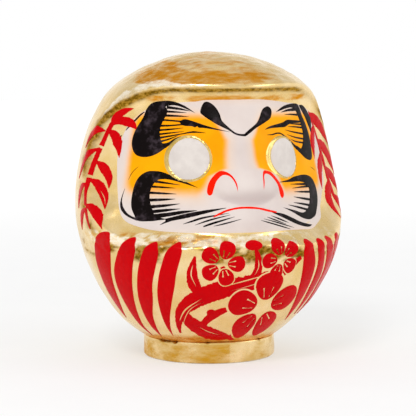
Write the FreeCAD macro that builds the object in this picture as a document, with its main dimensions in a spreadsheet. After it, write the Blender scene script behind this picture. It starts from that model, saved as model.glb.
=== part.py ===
"""Daruma doll: a hollow papier-mache shell on a weighted foot.

The shell is laid up over a mould, slit down the back to free it, and closed again with a strip of
paper. It is glued onto a low ring of board that holds a clay weight, so that the doll stands upright
and rocks back when pushed.

Frame: millimetres, +Z up, the origin at the centre of the foot's underside. The face looks along -Y.
"""

import FreeCAD, Part

import math
import os
from collections import namedtuple

import Sketcher
from FreeCAD import Vector

# Driving dimensions, in millimetres. Each one becomes a cell of the spreadsheet "sizes".
SIZES = {
    # the shell's outline, from the foot up to the crown
    "total_height": 240.0,
    "belly_radius": 105.3,
    "belly_height": 117.0,  # where the shell is widest
    "waist_height": 58.0,  # where the belly's arc gives way to the flatter one down to the foot
    "belly_arc": 118.0,
    "shoulder_drop": 42.2,  # from the crown down to where the side gives way to the shoulder ...
    "shoulder_inset": 17.5,  # ... and how much narrower the shell is there than at the belly
    "shoulder_arc": 54.0,
    "shell_wall": 2.4,
    "lip_thickness": 3.0,  # the turned-in bottom, which stands on the foot
    "mouth_radius": 41.0,
    # the face, set back into the front of the head
    "face_top_drop": 37.0,  # from the crown down to the face's upper edge
    "face_bottom_drop": 13.0,  # from the widest height down to the face's lower edge
    "face_half_width": 84.0,
    "top_recess": 14.5,
    "bottom_recess": 9.5,
    "cheek_half_width": 70.0,  # the face's plan curve is a hyperbola: this is its half width ...
    "cheek_depth": 98.0,  # ... and this its depth
    "nose_height": 7.5,
    "muzzle_height": 4.5,
    "brow_height": 7.0,
    "socket_depth": 3.0,
    "eye_spacing": 36.9,  # from the middle of the face to the middle of an eye
    "eye_radius": 17.0,
    "eye_height": 2.5,
    # the slit in the back and the strip glued over it
    "slit_width": 0.6,
    "slit_above_foot": 10.0,
    "slit_below_crown": 8.0,
    "strip_width": 16.0,
    "strip_thickness": 0.45,
    "strip_above_foot": 5.0,
    "strip_behind_axis": 20.0,
    # the foot
    "foot_radius": 52.0,
    "foot_height": 17.0,
    "foot_reveal": 0.8,  # how far the ring stands out from under the shell
    "ring_wall": 3.0,
    "ring_edge": 1.5,
    "board_thickness": 2.5,
    "board_clearance": 0.15,
    "weight_radius": 40.0,
    "weight_edge": 2.0,
    "paper_thickness": 0.4,
}

# Where the features of the face lie: their heights as shares of the face's height.
MUZZLE_SHARE = 0.17
NOSE_SHARE = 0.37
EYE_SHARE = 0.575
BROW_SHARE = 0.75

# How far each feature spreads, in millimetres: half widths across and up.
MUZZLE_SPREAD = (27.0, 12.0)
BROW_SPREAD = (19.0, 14.0)
SOCKET_SPREAD = (20.0, 17.0)
NOSE_HALF_WIDTH = 25.0
BRIDGE_SHARE = 0.5  # the bridge of the nose is this much narrower than its tip
NOSE_RISE = 17.0
NOSE_UNDERCUT = 7.0
EYE_TILT = math.radians(33)  # how far the eyes turn away from straight ahead
EYE_BEVEL = 5.0

# The face's outline is a superellipse. Outside it the surface climbs to the shell's skin at these slopes.
OUTLINE_POWER = 3.0
BRIM_SLOPE = 0.9
LEDGE_SLOPE = 2.3
RIM_ROUND = 3.5  # the width over which a slope sets in

# The cutters for the face: the pitch of their grid, and how far they run past the face and the shell.
GRID_PITCH = 3.2
REACH_BELOW = 14.0
REACH_ABOVE = 26.0
REACH_ASIDE = 12.0
SLOPE_STEP = 0.05

CLEAR = 10.0  # how far a cutting tool runs past what it cuts

Arc = namedtuple("Arc", "x z radius")
Point = namedtuple("Point", "x z")


def new_document():
    """The document, with the driving dimensions in its spreadsheet."""
    doc = FreeCAD.newDocument("daruma")
    sheet = doc.addObject("Spreadsheet::Sheet", "sizes")
    for row, (alias, value) in enumerate(SIZES.items(), start=1):
        sheet.set(f"A{row}", alias)
        sheet.set(f"B{row}", str(value))
        sheet.setAlias(f"B{row}", alias)
    doc.recompute()
    return doc


# ---------------------------------------------------------------- the shell's outline


def point_on(arc, angle):
    """The point of an arc in a direction from its centre, counted up from straight out."""
    return Point(arc.x + arc.radius * math.cos(angle), arc.z + arc.radius * math.sin(angle))


def height_on(arc, z):
    """The point of an arc at a height, on its outer side."""
    return Point(arc.x + math.sqrt(arc.radius**2 - (z - arc.z) ** 2), z)


class Outline:
    """Half of the shell's upright section, or of a parallel line inside or outside it.

    Five arcs meet tangentially, from the foot up: waist, belly, side, shoulder and crown. A parallel
    line has the same centres, with every radius smaller by the inset.
    """

    def __init__(self, sheet, inset, base_height):
        belly = Arc(sheet.belly_radius - sheet.belly_arc, sheet.belly_height, sheet.belly_arc)
        waist_angle = -math.asin((sheet.belly_height - sheet.waist_height) / sheet.belly_arc)
        waist = self.waist_arc(sheet, point_on(belly, waist_angle), waist_angle)
        rise = sheet.total_height - sheet.shoulder_drop - sheet.belly_height
        side_radius = (rise**2 + sheet.shoulder_inset**2) / (2 * sheet.shoulder_inset)
        side = Arc(sheet.belly_radius - side_radius, sheet.belly_height, side_radius)
        side_angle = math.asin(rise / side_radius)
        centre = point_on(Arc(side.x, side.z, side.radius - sheet.shoulder_arc), side_angle)
        shoulder = Arc(centre.x, centre.z, sheet.shoulder_arc)
        crown = self.crown_arc(sheet, shoulder)
        crown_angle = math.atan2(shoulder.z - crown.z, shoulder.x - crown.x)

        self.arcs = [Arc(arc.x, arc.z, arc.radius - inset) for arc in (waist, belly, side, shoulder, crown)]
        ends = [waist_angle, 0.0, side_angle, crown_angle, math.pi / 2]
        self.points = [height_on(self.arcs[0], base_height)]
        self.points += [point_on(arc, angle) for arc, angle in zip(self.arcs, ends)]

    @staticmethod
    def waist_arc(sheet, top, angle):
        """The arc that leaves the belly's at its top end and comes down to the edge of the foot."""
        across = top.x - (sheet.foot_radius - sheet.foot_reveal)
        up = top.z - sheet.foot_height
        radius = (across**2 + up**2) / (2 * (across * math.cos(angle) + up * math.sin(angle)))
        return Arc(top.x - radius * math.cos(angle), top.z - radius * math.sin(angle), radius)

    @staticmethod
    def crown_arc(sheet, shoulder):
        """The arc about the axis that ends at the top and touches the shoulder's arc from outside."""
        up = shoulder.z - sheet.total_height
        radius = (shoulder.radius**2 - shoulder.x**2 - up**2) / (2 * (up + shoulder.radius))
        return Arc(0.0, sheet.total_height - radius, radius)

    def radius_at(self, z):
        """The shell's radius at a height between its base and its crown."""
        arc = next((arc for arc, end in zip(self.arcs, self.points[1:]) if z <= end.z), self.arcs[-1])
        return height_on(arc, z).x


def origin_plane(body, role):
    return next(feature for feature in body.Origin.OriginFeatures if feature.Role == role)


def add_sketch(body, role, name):
    """A sketch on one of the body's own origin planes."""
    sketch = body.newObject("Sketcher::SketchObject", name)
    sketch.AttachmentSupport = [(origin_plane(body, role), "")]
    sketch.MapMode = "FlatFace"
    return sketch


def size_of(sketch, kind, where):
    """What a dimension measures on the sketch as drawn."""
    if kind == "Radius":
        return sketch.Geometry[where[0]].Radius
    first = sketch.getPoint(*where[:2])
    second = sketch.getPoint(*where[2:])
    return second.x - first.x if kind == "DistanceX" else second.y - first.y


def dimension(sketch, name, kind, where, expression):
    """A named dimension: one with an expression drives the sketch, and one without only measures it."""
    index = sketch.addConstraint(Sketcher.Constraint(kind, *where, size_of(sketch, kind, where)))
    sketch.renameConstraint(index, name)
    if expression:
        sketch.setExpression(f"Constraints.{name}", expression)
    else:
        sketch.setDriving(index, False)


def revolved_outline(doc, name, inset=None, inset_sign=1, base=("foot_height",), follows=None):
    """A solid of revolution under the shell's outline, or under a line parallel to it.

    inset is the alias of the distance to the parallel line, which lies inside the outline, or outside
    it where inset_sign is -1. base holds the aliases that add up to the height of the flat bottom. On
    the outline itself the waist, side and crown take their radii from the places they run through, and
    its sketch only measures them. A parallel line follows those measured radii.
    """
    sheet = doc.sizes
    inset_value = inset_sign * getattr(sheet, inset) if inset else 0.0
    outline = Outline(sheet, inset_value, sum(getattr(sheet, alias) for alias in base))
    inset_cell = f"{inset_sign} * sizes.{inset}" if inset else "0"

    body = doc.addObject("PartDesign::Body", name)
    sketch = add_sketch(body, "XZ_Plane", f"{name}_profile")
    for arc, start, end in zip(outline.arcs, outline.points, outline.points[1:]):
        circle = Part.Circle(Vector(arc.x, arc.z, 0), Vector(0, 0, 1), arc.radius)
        angles = [math.atan2(point.z - arc.z, point.x - arc.x) for point in (start, end)]
        sketch.addGeometry(Part.ArcOfCircle(circle, *angles))
    first, last = outline.points[0], outline.points[-1]
    corner = Vector(0, first.z, 0)
    sketch.addGeometry(Part.LineSegment(Vector(last.x, last.z, 0), corner))
    sketch.addGeometry(Part.LineSegment(corner, Vector(first.x, first.z, 0)))

    waist, belly, side, shoulder, crown, axis_line, base_line = range(7)
    start, end, centre = 1, 2, 3
    origin, vertical = -1, -2
    for lower in (waist, belly, side, shoulder):
        sketch.addConstraint(Sketcher.Constraint("Tangent", lower, end, lower + 1, start))
    for line, following in ((crown, axis_line), (axis_line, base_line), (base_line, waist)):
        sketch.addConstraint(Sketcher.Constraint("Coincident", line, end, following, start))
    for geometry, point in ((axis_line, start), (axis_line, end), (crown, centre)):
        sketch.addConstraint(Sketcher.Constraint("PointOnObject", geometry, point, vertical))
    sketch.addConstraint(Sketcher.Constraint("Horizontal", base_line))
    sketch.addConstraint(Sketcher.Constraint("Horizontal", belly, centre, side, start))

    for arc, alias in ((belly, "belly_arc"), (shoulder, "shoulder_arc")):
        dimension(sketch, alias, "Radius", (arc,), f"sizes.{alias} - {inset_cell}")
    from_origin = (origin, start)
    waist_drop = f"(sizes.belly_height - sizes.waist_height) * (1 - {inset_cell} / sizes.belly_arc)"
    placed = {
        "top": ("DistanceY", (crown, end), f"sizes.total_height - {inset_cell}"),
        "width": ("DistanceX", (side, start), f"sizes.belly_radius - {inset_cell}"),
        "widest": ("DistanceY", (side, start), "sizes.belly_height"),
        "waist_top": ("DistanceY", (belly, start), f"sizes.belly_height - {waist_drop}"),
        "base": ("DistanceY", (axis_line, end), " + ".join(f"sizes.{alias}" for alias in base)),
    }
    if not follows:
        placed["base_radius"] = ("DistanceX", (waist, start), "sizes.foot_radius - sizes.foot_reveal")
        shoulder_radius = "sizes.belly_radius - sizes.shoulder_inset"
        shoulder_height = "sizes.total_height - sizes.shoulder_drop"
        placed["shoulder_radius"] = ("DistanceX", (shoulder, start), shoulder_radius)
        placed["shoulder_height"] = ("DistanceY", (shoulder, start), shoulder_height)
    for label, (kind, point, expression) in placed.items():
        dimension(sketch, label, kind, from_origin + point, expression)
    for arc, label in ((waist, "waist_arc"), (side, "side_arc"), (crown, "crown_arc")):
        followed = f"{follows}_profile.Constraints.{label} - {inset_cell} * 1 mm" if follows else None
        dimension(sketch, label, "Radius", (arc,), followed)

    revolution = body.newObject("PartDesign::Revolution", f"{name}_turned")
    revolution.Profile = sketch
    revolution.ReferenceAxis = (sketch, ["V_Axis"])
    revolution.Angle = 360
    return body


# ---------------------------------------------------------------- the face


def smooth_step(value):
    """0 below 0 and 1 above 1, with a smooth rise between."""
    value = min(max(value, 0.0), 1.0)
    return value * value * (3 - 2 * value)


def bump(across, up, spread):
    """A rounded bump of height 1, from the distances to its middle."""
    return math.exp(-((across / spread[0]) ** 2) - (up / spread[1]) ** 2)


class Face:
    """The face's surface: how far it lies in front of the axis, at a place across and a height."""

    def __init__(self, sheet):
        outline = Outline(sheet, 0.0, sheet.foot_height)
        self.sheet = sheet
        self.top = sheet.total_height - sheet.face_top_drop
        self.bottom = sheet.belly_height - sheet.face_bottom_drop
        self.top_depth = outline.radius_at(self.top) - sheet.top_recess
        self.bottom_depth = outline.radius_at(self.bottom) - sheet.bottom_recess
        self.height = self.top - self.bottom

    def height_of(self, share):
        return self.bottom + share * self.height

    def base(self, x, z):
        """The plain surface: straight up the middle, and bent back to the sides."""
        middle = self.bottom_depth + (self.top_depth - self.bottom_depth) * (z - self.bottom) / self.height
        return middle - self.sheet.cheek_depth * (math.hypot(1, x / self.sheet.cheek_half_width) - 1)

    def relief(self, x, z):
        """Muzzle, nose, brow, eye sockets and the flat discs of the eyes."""
        sheet = self.sheet
        raised = sheet.muzzle_height * bump(x, z - self.height_of(MUZZLE_SHARE), MUZZLE_SPREAD)
        raised += sheet.brow_height * bump(x, z - self.height_of(BROW_SHARE), BROW_SPREAD)
        above_nose = z - self.height_of(NOSE_SHARE)
        half_width = NOSE_HALF_WIDTH * (1 - BRIDGE_SHARE * smooth_step(above_nose / NOSE_RISE))
        nose_length = NOSE_RISE if above_nose > 0 else NOSE_UNDERCUT
        raised += sheet.nose_height * bump(x, above_nose, (half_width, nose_length))
        aside = (abs(x) - sheet.eye_spacing) / math.cos(EYE_TILT)
        above_eye = z - self.height_of(EYE_SHARE)
        raised -= sheet.socket_depth * bump(aside, above_eye, SOCKET_SPREAD)
        inside_eye = sheet.eye_radius - math.hypot(aside, above_eye)
        return raised + sheet.eye_height * smooth_step(inside_eye / EYE_BEVEL)

    def rim(self, x, z):
        """The climb from the face's outline out to the shell: steep at the ledge, gentler at the brim."""
        half_height = self.height / 2
        above = (z - self.bottom - half_height) / half_height
        aside = abs(x) / self.sheet.face_half_width
        reach = (aside**OUTLINE_POWER + abs(above) ** OUTLINE_POWER) ** (1 / OUTLINE_POWER)
        outside = (reach - 1) * half_height
        if outside <= 0:
            return 0.0
        slope = (BRIM_SLOPE if above > 0 else LEDGE_SLOPE) * (above / reach) ** 2
        return slope * outside**2 / (outside + RIM_ROUND)

    def depth(self, x, z):
        return self.base(x, z) + self.relief(x, z) + self.rim(x, z)

    def inner_depth(self, x, z):
        """The back of the shell's wall, one wall's thickness behind the face, square to it."""
        slope_across = (self.depth(x + SLOPE_STEP, z) - self.depth(x - SLOPE_STEP, z)) / (2 * SLOPE_STEP)
        slope_up = (self.depth(x, z + SLOPE_STEP) - self.depth(x, z - SLOPE_STEP)) / (2 * SLOPE_STEP)
        return self.depth(x, z) - self.sheet.shell_wall * math.sqrt(1 + slope_across**2 + slope_up**2)


def grid(low, high):
    """Evenly spaced places from low to high, about a grid's pitch apart."""
    count = round((high - low) / GRID_PITCH)
    return [low + (high - low) * index / count for index in range(count + 1)]


def face_cutter(doc, name, face, depth):
    """The space in front of a surface, as a solid that reaches past the shell on every side."""
    half_width = face.sheet.belly_radius + REACH_ASIDE
    across = grid(-half_width, half_width)
    up = grid(face.bottom - REACH_BELOW, face.top + REACH_ABOVE)
    surface = Part.BSplineSurface()
    surface.interpolate([[Vector(x, -depth(x, z), z) for z in up] for x in across])
    cutter = doc.addObject("Part::Feature", name)
    cutter.Shape = surface.toShape().extrude(Vector(0, -face.sheet.belly_radius - CLEAR, 0))
    return cutter


# ---------------------------------------------------------------- joining and cutting


def cut(doc, name, base, tool):
    """What is left of the base without the tool."""
    result = doc.addObject("Part::Cut", name)
    result.Base = base
    result.Tool = tool
    return result


def bound(feature, expressions):
    """The feature, with its sizes bound to the sheet."""
    for attribute, expression in expressions.items():
        feature.setExpression(attribute, expression)
    return feature


# ---------------------------------------------------------------- the pieces


def body_shell(doc, outer, face):
    """The papier-mache shell: hollow, open at the foot, with the face pressed in and the back slit."""
    above_lip = ("foot_height", "lip_thickness")
    hollow = revolved_outline(doc, "hollow", "shell_wall", base=above_lip, follows=outer.Name)
    front = cut(doc, "head", outer, face_cutter(doc, "face_front", face, face.depth))
    room = cut(doc, "room", hollow, face_cutter(doc, "face_back", face, face.inner_depth))
    walls = cut(doc, "walls", front, room)

    mouth = bound(
        doc.addObject("Part::Cylinder", "mouth"),
        {
            "Radius": "sizes.mouth_radius",
            "Height": f"sizes.lip_thickness + {2 * CLEAR}",
            "Placement.Base.z": f"sizes.foot_height - {CLEAR}",
        },
    )
    slit_top = "sizes.total_height - sizes.slit_below_crown"
    slit_bottom = "sizes.foot_height + sizes.slit_above_foot"
    slit = bound(
        doc.addObject("Part::Box", "slit"),
        {
            "Length": "sizes.slit_width",
            "Width": f"sizes.belly_radius + {CLEAR}",
            "Height": f"{slit_top} - ({slit_bottom})",
            "Placement.Base.x": "-sizes.slit_width / 2",
            "Placement.Base.z": slit_bottom,
        },
    )
    return cut(doc, "body_shell", cut(doc, "open_walls", walls, mouth), slit)


def back_seam_strip(doc, outer):
    """The strip of paper glued over the slit, from just above the foot up the back and onto the crown."""
    raised = revolved_outline(doc, "raised", "strip_thickness", inset_sign=-1, follows=outer.Name)
    width = bound(
        doc.addObject("Part::Box", "strip_width"),
        {
            "Length": "sizes.strip_width",
            "Width": f"sizes.belly_radius + {CLEAR}",
            "Height": "sizes.total_height",
            "Placement.Base.x": "-sizes.strip_width / 2",
            "Placement.Base.y": "sizes.strip_behind_axis",
            "Placement.Base.z": "sizes.foot_height + sizes.strip_above_foot",
        },
    )
    strip = doc.addObject("Part::Common", "back_seam_strip")
    strip.Base = cut(doc, "paper_skin", raised, outer)
    strip.Tool = width
    return strip


def disc(doc, name, radius, height, thickness, bore=None):
    """A round plate or ring about the axis: its sizes are the sheet's expressions."""
    body = doc.addObject("PartDesign::Body", name)
    sketch = add_sketch(body, "XY_Plane", f"{name}_outline")
    sketch.setExpression("AttachmentOffset.Base.z", height)
    for index, (label, expression) in enumerate([("radius", radius)] + ([("bore", bore)] if bore else [])):
        sketch.addGeometry(Part.Circle(Vector(0, 0, 0), Vector(0, 0, 1), 50 - 10 * index))
        sketch.addConstraint(Sketcher.Constraint("Coincident", index, 3, -1, 1))
        dimension(sketch, label, "Radius", (index,), expression)
    pad = body.newObject("PartDesign::Pad", f"{name}_plate")
    pad.Profile = sketch
    pad.setExpression("Length", thickness)
    return body


def round_edge(body, z, radius, expression):
    """A fillet on the body's outermost edge at a height."""
    body.Document.recompute()
    plate = body.Tip
    level = [index for index, edge in enumerate(plate.Shape.Edges, start=1) if edge_is_level(edge, z)]
    widest = max(level, key=lambda index: plate.Shape.Edges[index - 1].Curve.Radius)
    fillet = body.newObject("PartDesign::Fillet", f"{body.Name}_edge")
    fillet.Base = (plate, [f"Edge{widest}"])
    fillet.Radius = radius
    fillet.setExpression("Radius", expression)
    return body


def edge_is_level(edge, z):
    box = edge.BoundBox
    return abs(box.ZMin - z) < 1e-6 and abs(box.ZMax - z) < 1e-6


def foot_pieces(doc):
    """The ring of board, the disc that closes its top, the clay weight and the paper under it all."""
    sheet = doc.sizes
    ring = disc(
        doc,
        "foot_ring",
        radius="sizes.foot_radius",
        bore="sizes.foot_radius - sizes.ring_wall",
        height="sizes.paper_thickness",
        thickness="sizes.foot_height - sizes.paper_thickness",
    )
    board = disc(
        doc,
        "base_board",
        radius="sizes.foot_radius - sizes.ring_wall - sizes.board_clearance",
        height="sizes.foot_height - sizes.board_thickness",
        thickness="sizes.board_thickness",
    )
    weight = disc(
        doc,
        "clay_weight",
        radius="sizes.weight_radius",
        height="sizes.paper_thickness",
        thickness="sizes.foot_height - sizes.board_thickness - sizes.paper_thickness",
    )
    paper = disc(
        doc,
        "bottom_paper",
        radius="sizes.foot_radius - sizes.ring_edge",
        height="0",
        thickness="sizes.paper_thickness",
    )
    round_edge(ring, sheet.paper_thickness, sheet.ring_edge, "sizes.ring_edge")
    round_edge(weight, sheet.paper_thickness, sheet.weight_edge, "sizes.weight_edge")
    return [ring, board, weight, paper]


# ---------------------------------------------------------------- check and write


def write(doc, pieces):
    """Stop on anything that failed, and otherwise write one STEP file for each piece."""
    doc.recompute()
    failed = [item.Name for item in doc.Objects if {"Invalid", "Error"} & set(item.State)]
    if failed:
        raise RuntimeError(f"these did not recompute: {failed}")
    for piece in pieces:
        if piece.Shape.isNull() or not piece.Shape.isValid() or len(piece.Shape.Solids) != 1:
            raise RuntimeError(f"{piece.Label} is not one valid solid")
    os.makedirs("parts", exist_ok=True)
    for piece in pieces:
        piece.Shape.exportStep(f"parts/{piece.Label}.step")
        print(f"{piece.Label}: {piece.Shape.Volume / 1000:.1f} cm3")


def main():
    doc = new_document()
    outer = revolved_outline(doc, "outer")
    face = Face(doc.sizes)
    pieces = [body_shell(doc, outer, face), back_seam_strip(doc, outer), *foot_pieces(doc)]
    write(doc, pieces)


main()
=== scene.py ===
"""The looks of a gilt papier-mache daruma doll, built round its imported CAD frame.

The painted parts are drawn as curves in (azimuth, height): azimuth in degrees round the doll's axis,
0 at the middle of the face and positive towards +X, and height in millimetres above the floor. Left
and right are the viewer's. The constants are in millimetres unless they say otherwise.
"""

import math

import bpy
import numpy as np
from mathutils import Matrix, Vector, noise
from mathutils.bvhtree import BVHTree
from mathutils.geometry import delaunay_2d_cdt


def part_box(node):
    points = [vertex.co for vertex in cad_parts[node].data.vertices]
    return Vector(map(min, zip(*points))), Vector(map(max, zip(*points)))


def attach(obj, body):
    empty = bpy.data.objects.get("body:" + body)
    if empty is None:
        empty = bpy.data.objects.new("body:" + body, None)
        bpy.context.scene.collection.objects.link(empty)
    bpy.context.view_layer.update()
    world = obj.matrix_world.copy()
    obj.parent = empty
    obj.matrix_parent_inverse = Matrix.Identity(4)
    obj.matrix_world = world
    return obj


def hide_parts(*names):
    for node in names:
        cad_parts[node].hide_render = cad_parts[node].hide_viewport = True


MM = 0.001

# the body's skin
COLUMNS, INNER_ROWS, CROWN_ROWS = 380, 22, 100
SPINE_LOW, SPINE_HIGH = 60, 190  # between these heights the skin is seen square from the axis
ROW_PITCH = 1.4
LOW_REACH = 78  # about how far the skin under SPINE_LOW is from its centre of rays
CROWN_END = 89.2  # degrees up; the last row before the fan that closes the crown
FAR = 0.3  # metres; rays that start this far out start outside the doll
SKIN_BLUR = 1.7
WALL = 2.4
MOUTH_RADIUS, LIP = 41, 3

LIGHT_TARGET = (0, 0, 0.12)  # metres

# the paint
CHART_SCALE = 1.6  # millimetres of skin to a degree of azimuth, near enough for spacing points
EDGE_STEP = 0.7
PAINT_DEPTH = 0.3
COAT_LIFT, INK_LIFT, RING_LIFT, EYE_LIFT, RED_LIFT = 0.20, 0.40, 0.56, 0.46, 0.46
TIP = 0.2  # the width of a brush stroke where the brush leaves the skin
NOSE_MIDDLE, NOSE_HALF = 1.2, 16.5  # degrees
PETALS = 5

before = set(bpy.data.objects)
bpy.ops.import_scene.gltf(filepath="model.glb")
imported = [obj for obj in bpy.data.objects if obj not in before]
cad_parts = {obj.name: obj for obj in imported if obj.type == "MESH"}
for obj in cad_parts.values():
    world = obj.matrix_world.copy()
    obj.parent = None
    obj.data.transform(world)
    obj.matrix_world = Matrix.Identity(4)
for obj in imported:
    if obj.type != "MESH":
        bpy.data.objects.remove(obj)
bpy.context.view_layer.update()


# ---------------- numbers


def ease(low, high, x):
    """0 below low, 1 above high, and smooth between; low may be the larger."""
    t = np.clip((np.asarray(x, float) - low) / (high - low), 0, 1)
    return t * t * (3 - 2 * t)


def band(x, start, rise, fall, end):
    """1 between rise and fall, 0 outside start and end."""
    return ease(start, rise, x) * (1 - ease(fall, end, x))


def crumple(points, size, seed, octaves):
    """Smooth noise from -1 to 1 at each point. size is the cell in millimetres along x, y and z."""
    scaled = np.asarray(points) / (np.array(size) * MM) + seed
    return np.array([noise.fractal(Vector(p), 1.0, 2.1, octaves) for p in scaled])


def smooth_path(points, closed):
    """A Catmull-Rom curve through the points, sampled every EDGE_STEP. A point given twice is a corner."""
    p = np.array(points, float)
    n = len(p)
    out = []
    for i in range(n if closed else n - 1):
        a, b, c, d = (p[k % n] if closed else p[min(max(k, 0), n - 1)] for k in (i - 1, i, i + 1, i + 2))
        length = math.hypot((c[0] - b[0]) * CHART_SCALE, c[1] - b[1])
        if length == 0:
            continue
        bend, twist = 2 * a - 5 * b + 4 * c - d, 3 * (b - c) + d - a
        for t in np.arange(0, 1, 1 / max(1, round(length / EDGE_STEP))):
            out.append(0.5 * (2 * b + (c - a) * t + bend * t * t + twist * t**3))
    if not closed:
        out.append(p[-1])
    return np.array(out)


# ---------------- meshes


def make_object(name, points, faces, sharp=40):
    mesh = bpy.data.meshes.new(name)
    mesh.from_pydata([tuple(p) for p in points], [], [tuple(f) for f in faces])
    mesh.validate()
    mesh.polygons.foreach_set("use_smooth", [True] * len(mesh.polygons))
    mesh.set_sharp_from_angle(angle=math.radians(sharp))
    piece = bpy.data.objects.new(name, mesh)
    bpy.context.scene.collection.objects.link(piece)
    return piece


def set_fields(piece, **fields):
    """Keeps numbers for each vertex, under names that the piece's material reads."""
    for name, values in fields.items():
        field = piece.data.attributes.new(name, "FLOAT", "POINT")
        field.data.foreach_set("value", np.asarray(values, np.float32))


def finish_piece(piece, material, slot, *stands_for):
    """Gives a piece its material, parents it to the root body and hides the CAD nodes it stands for, if any.
    slot is not used.
    """
    piece.data.materials.append(material)
    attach(piece, "root")
    if stands_for:
        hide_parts(*stands_for)


def tree_of(node):
    mesh = node.data
    return BVHTree.FromPolygons([v.co for v in mesh.vertices], [p.vertices for p in mesh.polygons])


def rim_of(faces):
    """The edges that only one face has, each in its face's direction."""
    edges = dict.fromkeys((f[k], f[(k + 1) % len(f)]) for f in faces for k in range(len(f)))
    return [(a, b) for a, b in edges if (b, a) not in edges]


def closed_sheet(name, tops, bottoms, faces):
    """Two layers of points, joined above by the faces, below by their copies and round the rim by quads."""
    n = len(tops)
    under = [tuple(n + k for k in face[::-1]) for face in faces]
    sides = [(b, a, n + a, n + b) for a, b in rim_of(faces)]
    return make_object(name, tops + bottoms, faces + under + sides)


def azimuth_of(points):
    return np.degrees(np.arctan2(points[..., 0], -points[..., 1]))


# ---------------- skin


def blur_radii(radii, elevations):
    """The radii with everything finer than SKIN_BLUR millimetres smoothed away."""
    turn = radii * np.cos(elevations)[:, None]
    spread = SKIN_BLUR * MM / np.maximum(turn.mean(1), 2 * MM)
    waves = np.fft.rfft(radii, axis=1)
    order = np.arange(waves.shape[1])
    waves *= np.exp(-0.5 * (spread[:, None] * order) ** 2)
    radii = np.fft.irfft(waves, COLUMNS, axis=1)
    reach = 5  # rows each way
    kernel = np.exp(-0.5 * (np.arange(-reach, reach + 1) * ROW_PITCH / SKIN_BLUR) ** 2)
    kernel /= kernel.sum()
    padded = np.vstack([2 * radii[:1] - radii[reach:0:-1], radii, radii[-2 : -2 - reach : -1]])
    return sum(k * padded[i : i + len(radii)] for i, k in enumerate(kernel))


def grid_normals(points):
    """Outward normals of a grid of points whose columns close round the axis."""
    along = np.roll(points, -1, 1) - np.roll(points, 1, 1)
    up = np.gradient(points, axis=0)
    normals = np.cross(along, up)
    return normals / np.linalg.norm(normals, axis=2, keepdims=True)


def nose_edge(azimuth):
    """The height of the nose's lower edge, which curves up to both nostrils."""
    return 126.2 + 7.5 * ((azimuth - NOSE_MIDDLE) / NOSE_HALF) ** 2


def hand_made(points):
    """How far, in millimetres, the skin stands off the true form: laid paper is never quite even."""
    flat = points.reshape(-1, 3)
    azimuth, height = azimuth_of(flat), flat[:, 2] / MM
    # the left side's outline wavers: so far out at these heights
    heights = [17, 30, 49, 68, 87, 106, 125, 144, 163, 182, 201, 220, 232, 240]
    out = [0.6, 1.4, -0.1, -0.7, -0.8, 0.2, 0.6, 0.8, 1.1, 0.7, -1.1, -1.9, -1.2, 0]
    towards_left = np.cos(np.radians(azimuth + 108))
    leaning = np.interp(height, heights, out) * ease(-0.3, 0.8, towards_left)
    slack = 0.35 * crumple(flat, (48, 48, 42), 3.1, 2) + 0.10 * crumple(flat, (14, 14, 12), 8.7, 2)
    on_crown = ease(214, 221, height)
    front = ease(-0.9, 0.6, -flat[:, 1] / np.maximum(np.hypot(flat[:, 0], flat[:, 1]), 1e-6))
    folds = on_crown * (0.25 + 0.75 * front) * crumple(flat, (17, 8, 4), 1.7, 4)
    below_face = band(height, 84, 92, 99, 104.5) * ease(100, 60, np.abs(azimuth))
    ledge = below_face * crumple(flat, (8, 8, 5.5), 5.3, 3)
    beside_face = band(np.abs(azimuth), 60, 68, 92, 104) * band(height, 96, 110, 190, 215)
    flank = beside_face * crumple(flat, (12, 12, 16), 9.9, 3)
    face = band(height, 100, 110, 196, 206) * ease(72, 62, np.abs(azimuth))
    edge = nose_edge(azimuth)
    nose = np.exp(-(((azimuth - 1) / 14) ** 2)) * ease(edge - 1, edge + 7, height) * ease(160, 142, height)
    total = leaning + (1 - 0.8 * face) * slack + 0.5 * folds + 0.8 * ledge + 0.35 * flank + 3.2 * nose
    return total.reshape(points.shape[:2])


def skin_rows():
    """For each row of the skin, from the mouth up: the height of its centre of rays, and its elevation."""
    inset, clearance, short_of_level = 0.8, 0.3, 0.01
    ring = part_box("foot_ring")[1].x / MM - inset
    start = math.atan2(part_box("body_shell")[0].z / MM + clearance - SPINE_LOW, ring)
    low = [(SPINE_LOW, e) for e in np.arange(start, -short_of_level, ROW_PITCH / LOW_REACH)]
    middle = [(z, 0.0) for z in np.arange(SPINE_LOW, SPINE_HIGH, ROW_PITCH)]
    high = [(SPINE_HIGH, e) for e in np.linspace(0, math.radians(CROWN_END), CROWN_ROWS)]
    return low + middle + high


def ray_at(turn, elevation):
    """The direction away from the axis, turned in radians from the middle of the face."""
    flat = math.cos(elevation)
    return Vector((math.sin(turn) * flat, -math.cos(turn) * flat, math.sin(elevation)))


def skin_grid():
    """The outer skin as rows of points from the mouth up to the crown, every row a turn round the axis."""
    tree = tree_of(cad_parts["body_shell"])
    rows = skin_rows()
    turns = np.radians((np.arange(COLUMNS) + 0.5) * 360 / COLUMNS - 180)
    radii = np.zeros((len(rows), COLUMNS))
    for i, (seat, elevation) in enumerate(rows):
        for j, turn in enumerate(turns):
            centre, ray = Vector((0, 0, seat * MM)), ray_at(turn, elevation)
            hit = tree.ray_cast(centre + ray * FAR, -ray)[0]
            radii[i, j] = (hit - centre).length if hit else radii[i, j - 1]
    radii = blur_radii(radii, np.array([e for _, e in rows]))
    points = np.zeros((len(rows), COLUMNS, 3))
    for i, (seat, elevation) in enumerate(rows):
        rays = np.array([ray_at(turn, elevation) for turn in turns])
        points[i] = [0, 0, seat * MM] + rays * radii[i][:, None]
    return points + grid_normals(points) * (hand_made(points) * MM)[..., None]


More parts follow.
